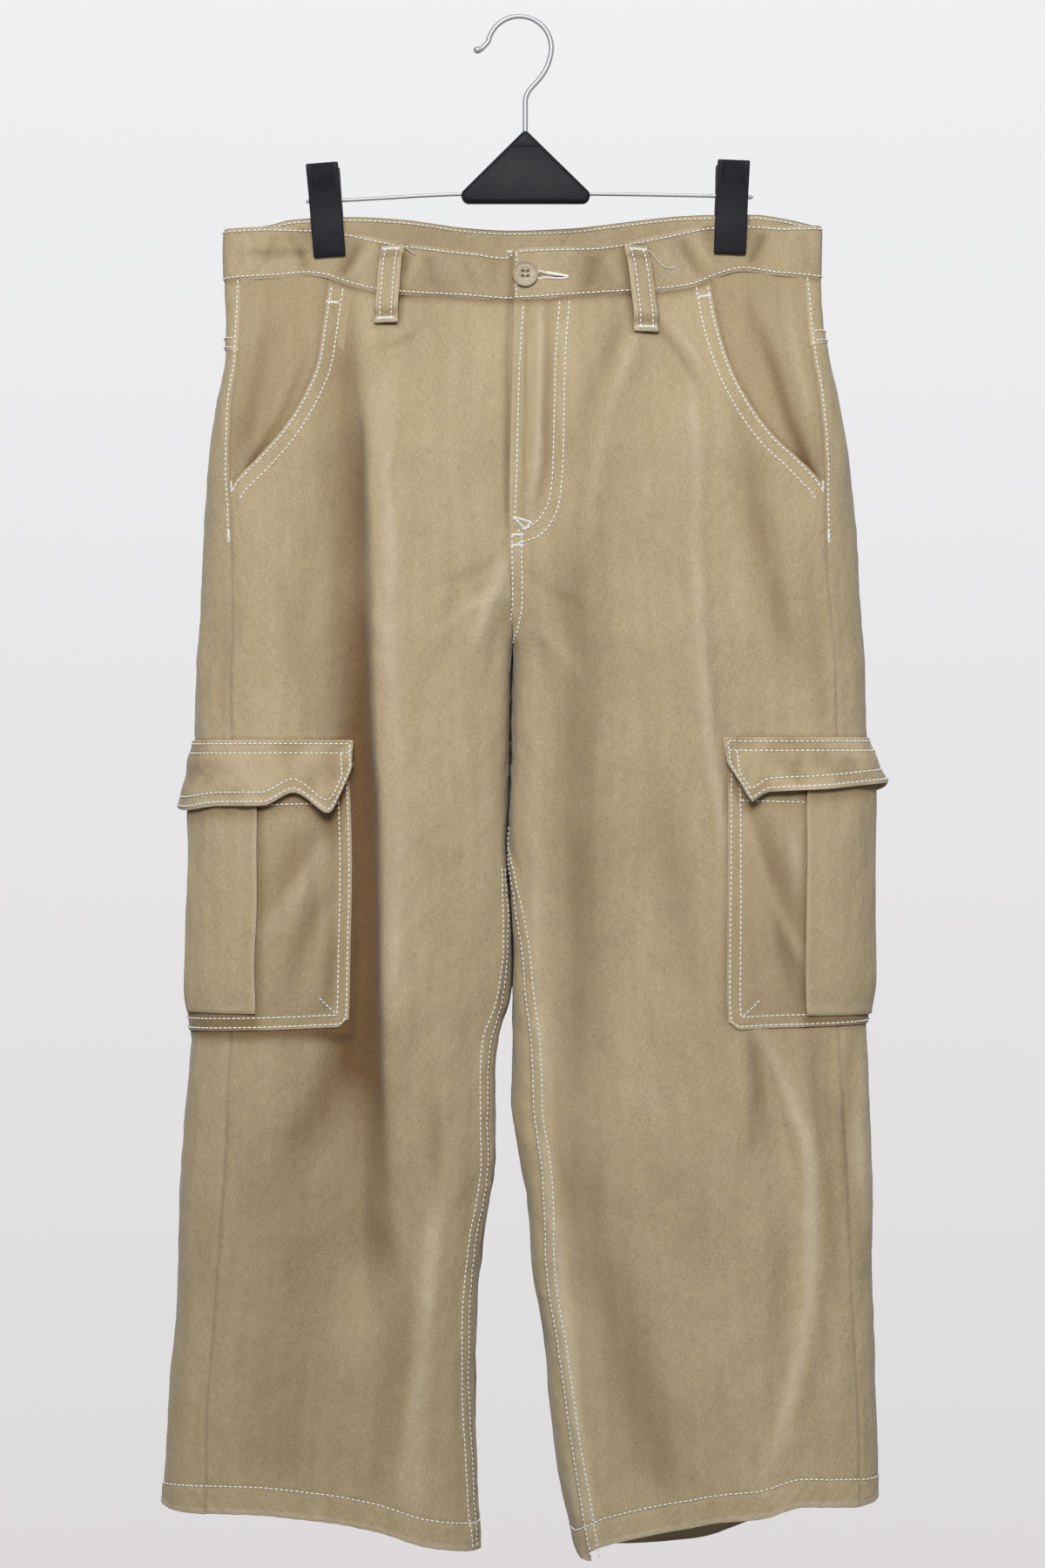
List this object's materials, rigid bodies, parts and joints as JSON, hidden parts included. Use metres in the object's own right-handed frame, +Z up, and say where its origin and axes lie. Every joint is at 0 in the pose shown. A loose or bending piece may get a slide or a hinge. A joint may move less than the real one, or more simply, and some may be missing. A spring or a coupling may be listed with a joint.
{
  "type": "cargo jeans on a clip hanger",
  "caption": "Wide-leg cargo jeans with curved front pockets, flapped side pockets and a buttoned waistband, hung by the waist from a two-clip hanger.",
  "frame": {"origin": "underside of the crown of the hanger's hook, where the rail carries it", "axes": "+X to the wearer's left, +Y to the back of the garment, +Z up; the front faces -Y"},
  "size_m": [0.5022, 0.0974, 1.0615],
  "materials": {
    "cloth": "matt cotton twill",
    "button": "satin",
    "zip": "satin",
    "wire": "polished",
    "plastic": "satin"
  },
  "bodies": {
    "root": {"front_panel_right": "cloth", "front_panel_left": "cloth", "back_panel_right": "cloth", "back_panel_left": "cloth", "back_yoke_right": "cloth", "back_yoke_left": "cloth", "waistband": "cloth", "pocket_facing_right": "cloth", "pocket_facing_left": "cloth", "fly_shield": "cloth", "fly_zip": "zip", "cargo_pocket_right": "cloth", "cargo_pocket_left": "cloth", "cargo_pleat_right": "cloth", "cargo_pleat_left": "cloth", "cargo_flap_right": "cloth", "cargo_flap_left": "cloth", "belt_loop_front_right": "cloth", "belt_loop_front_left": "cloth", "belt_loop_back_right": "cloth", "belt_loop_back_centre": "cloth", "belt_loop_back_left": "cloth", "button": "button", "hanger_hook": "wire", "hanger_bar": "wire", "hanger_block": "plastic", "clip_right_front": "plastic", "clip_right_back": "plastic", "clip_left_front": "plastic", "clip_left_back": "plastic"}
  },
  "joints": []
}
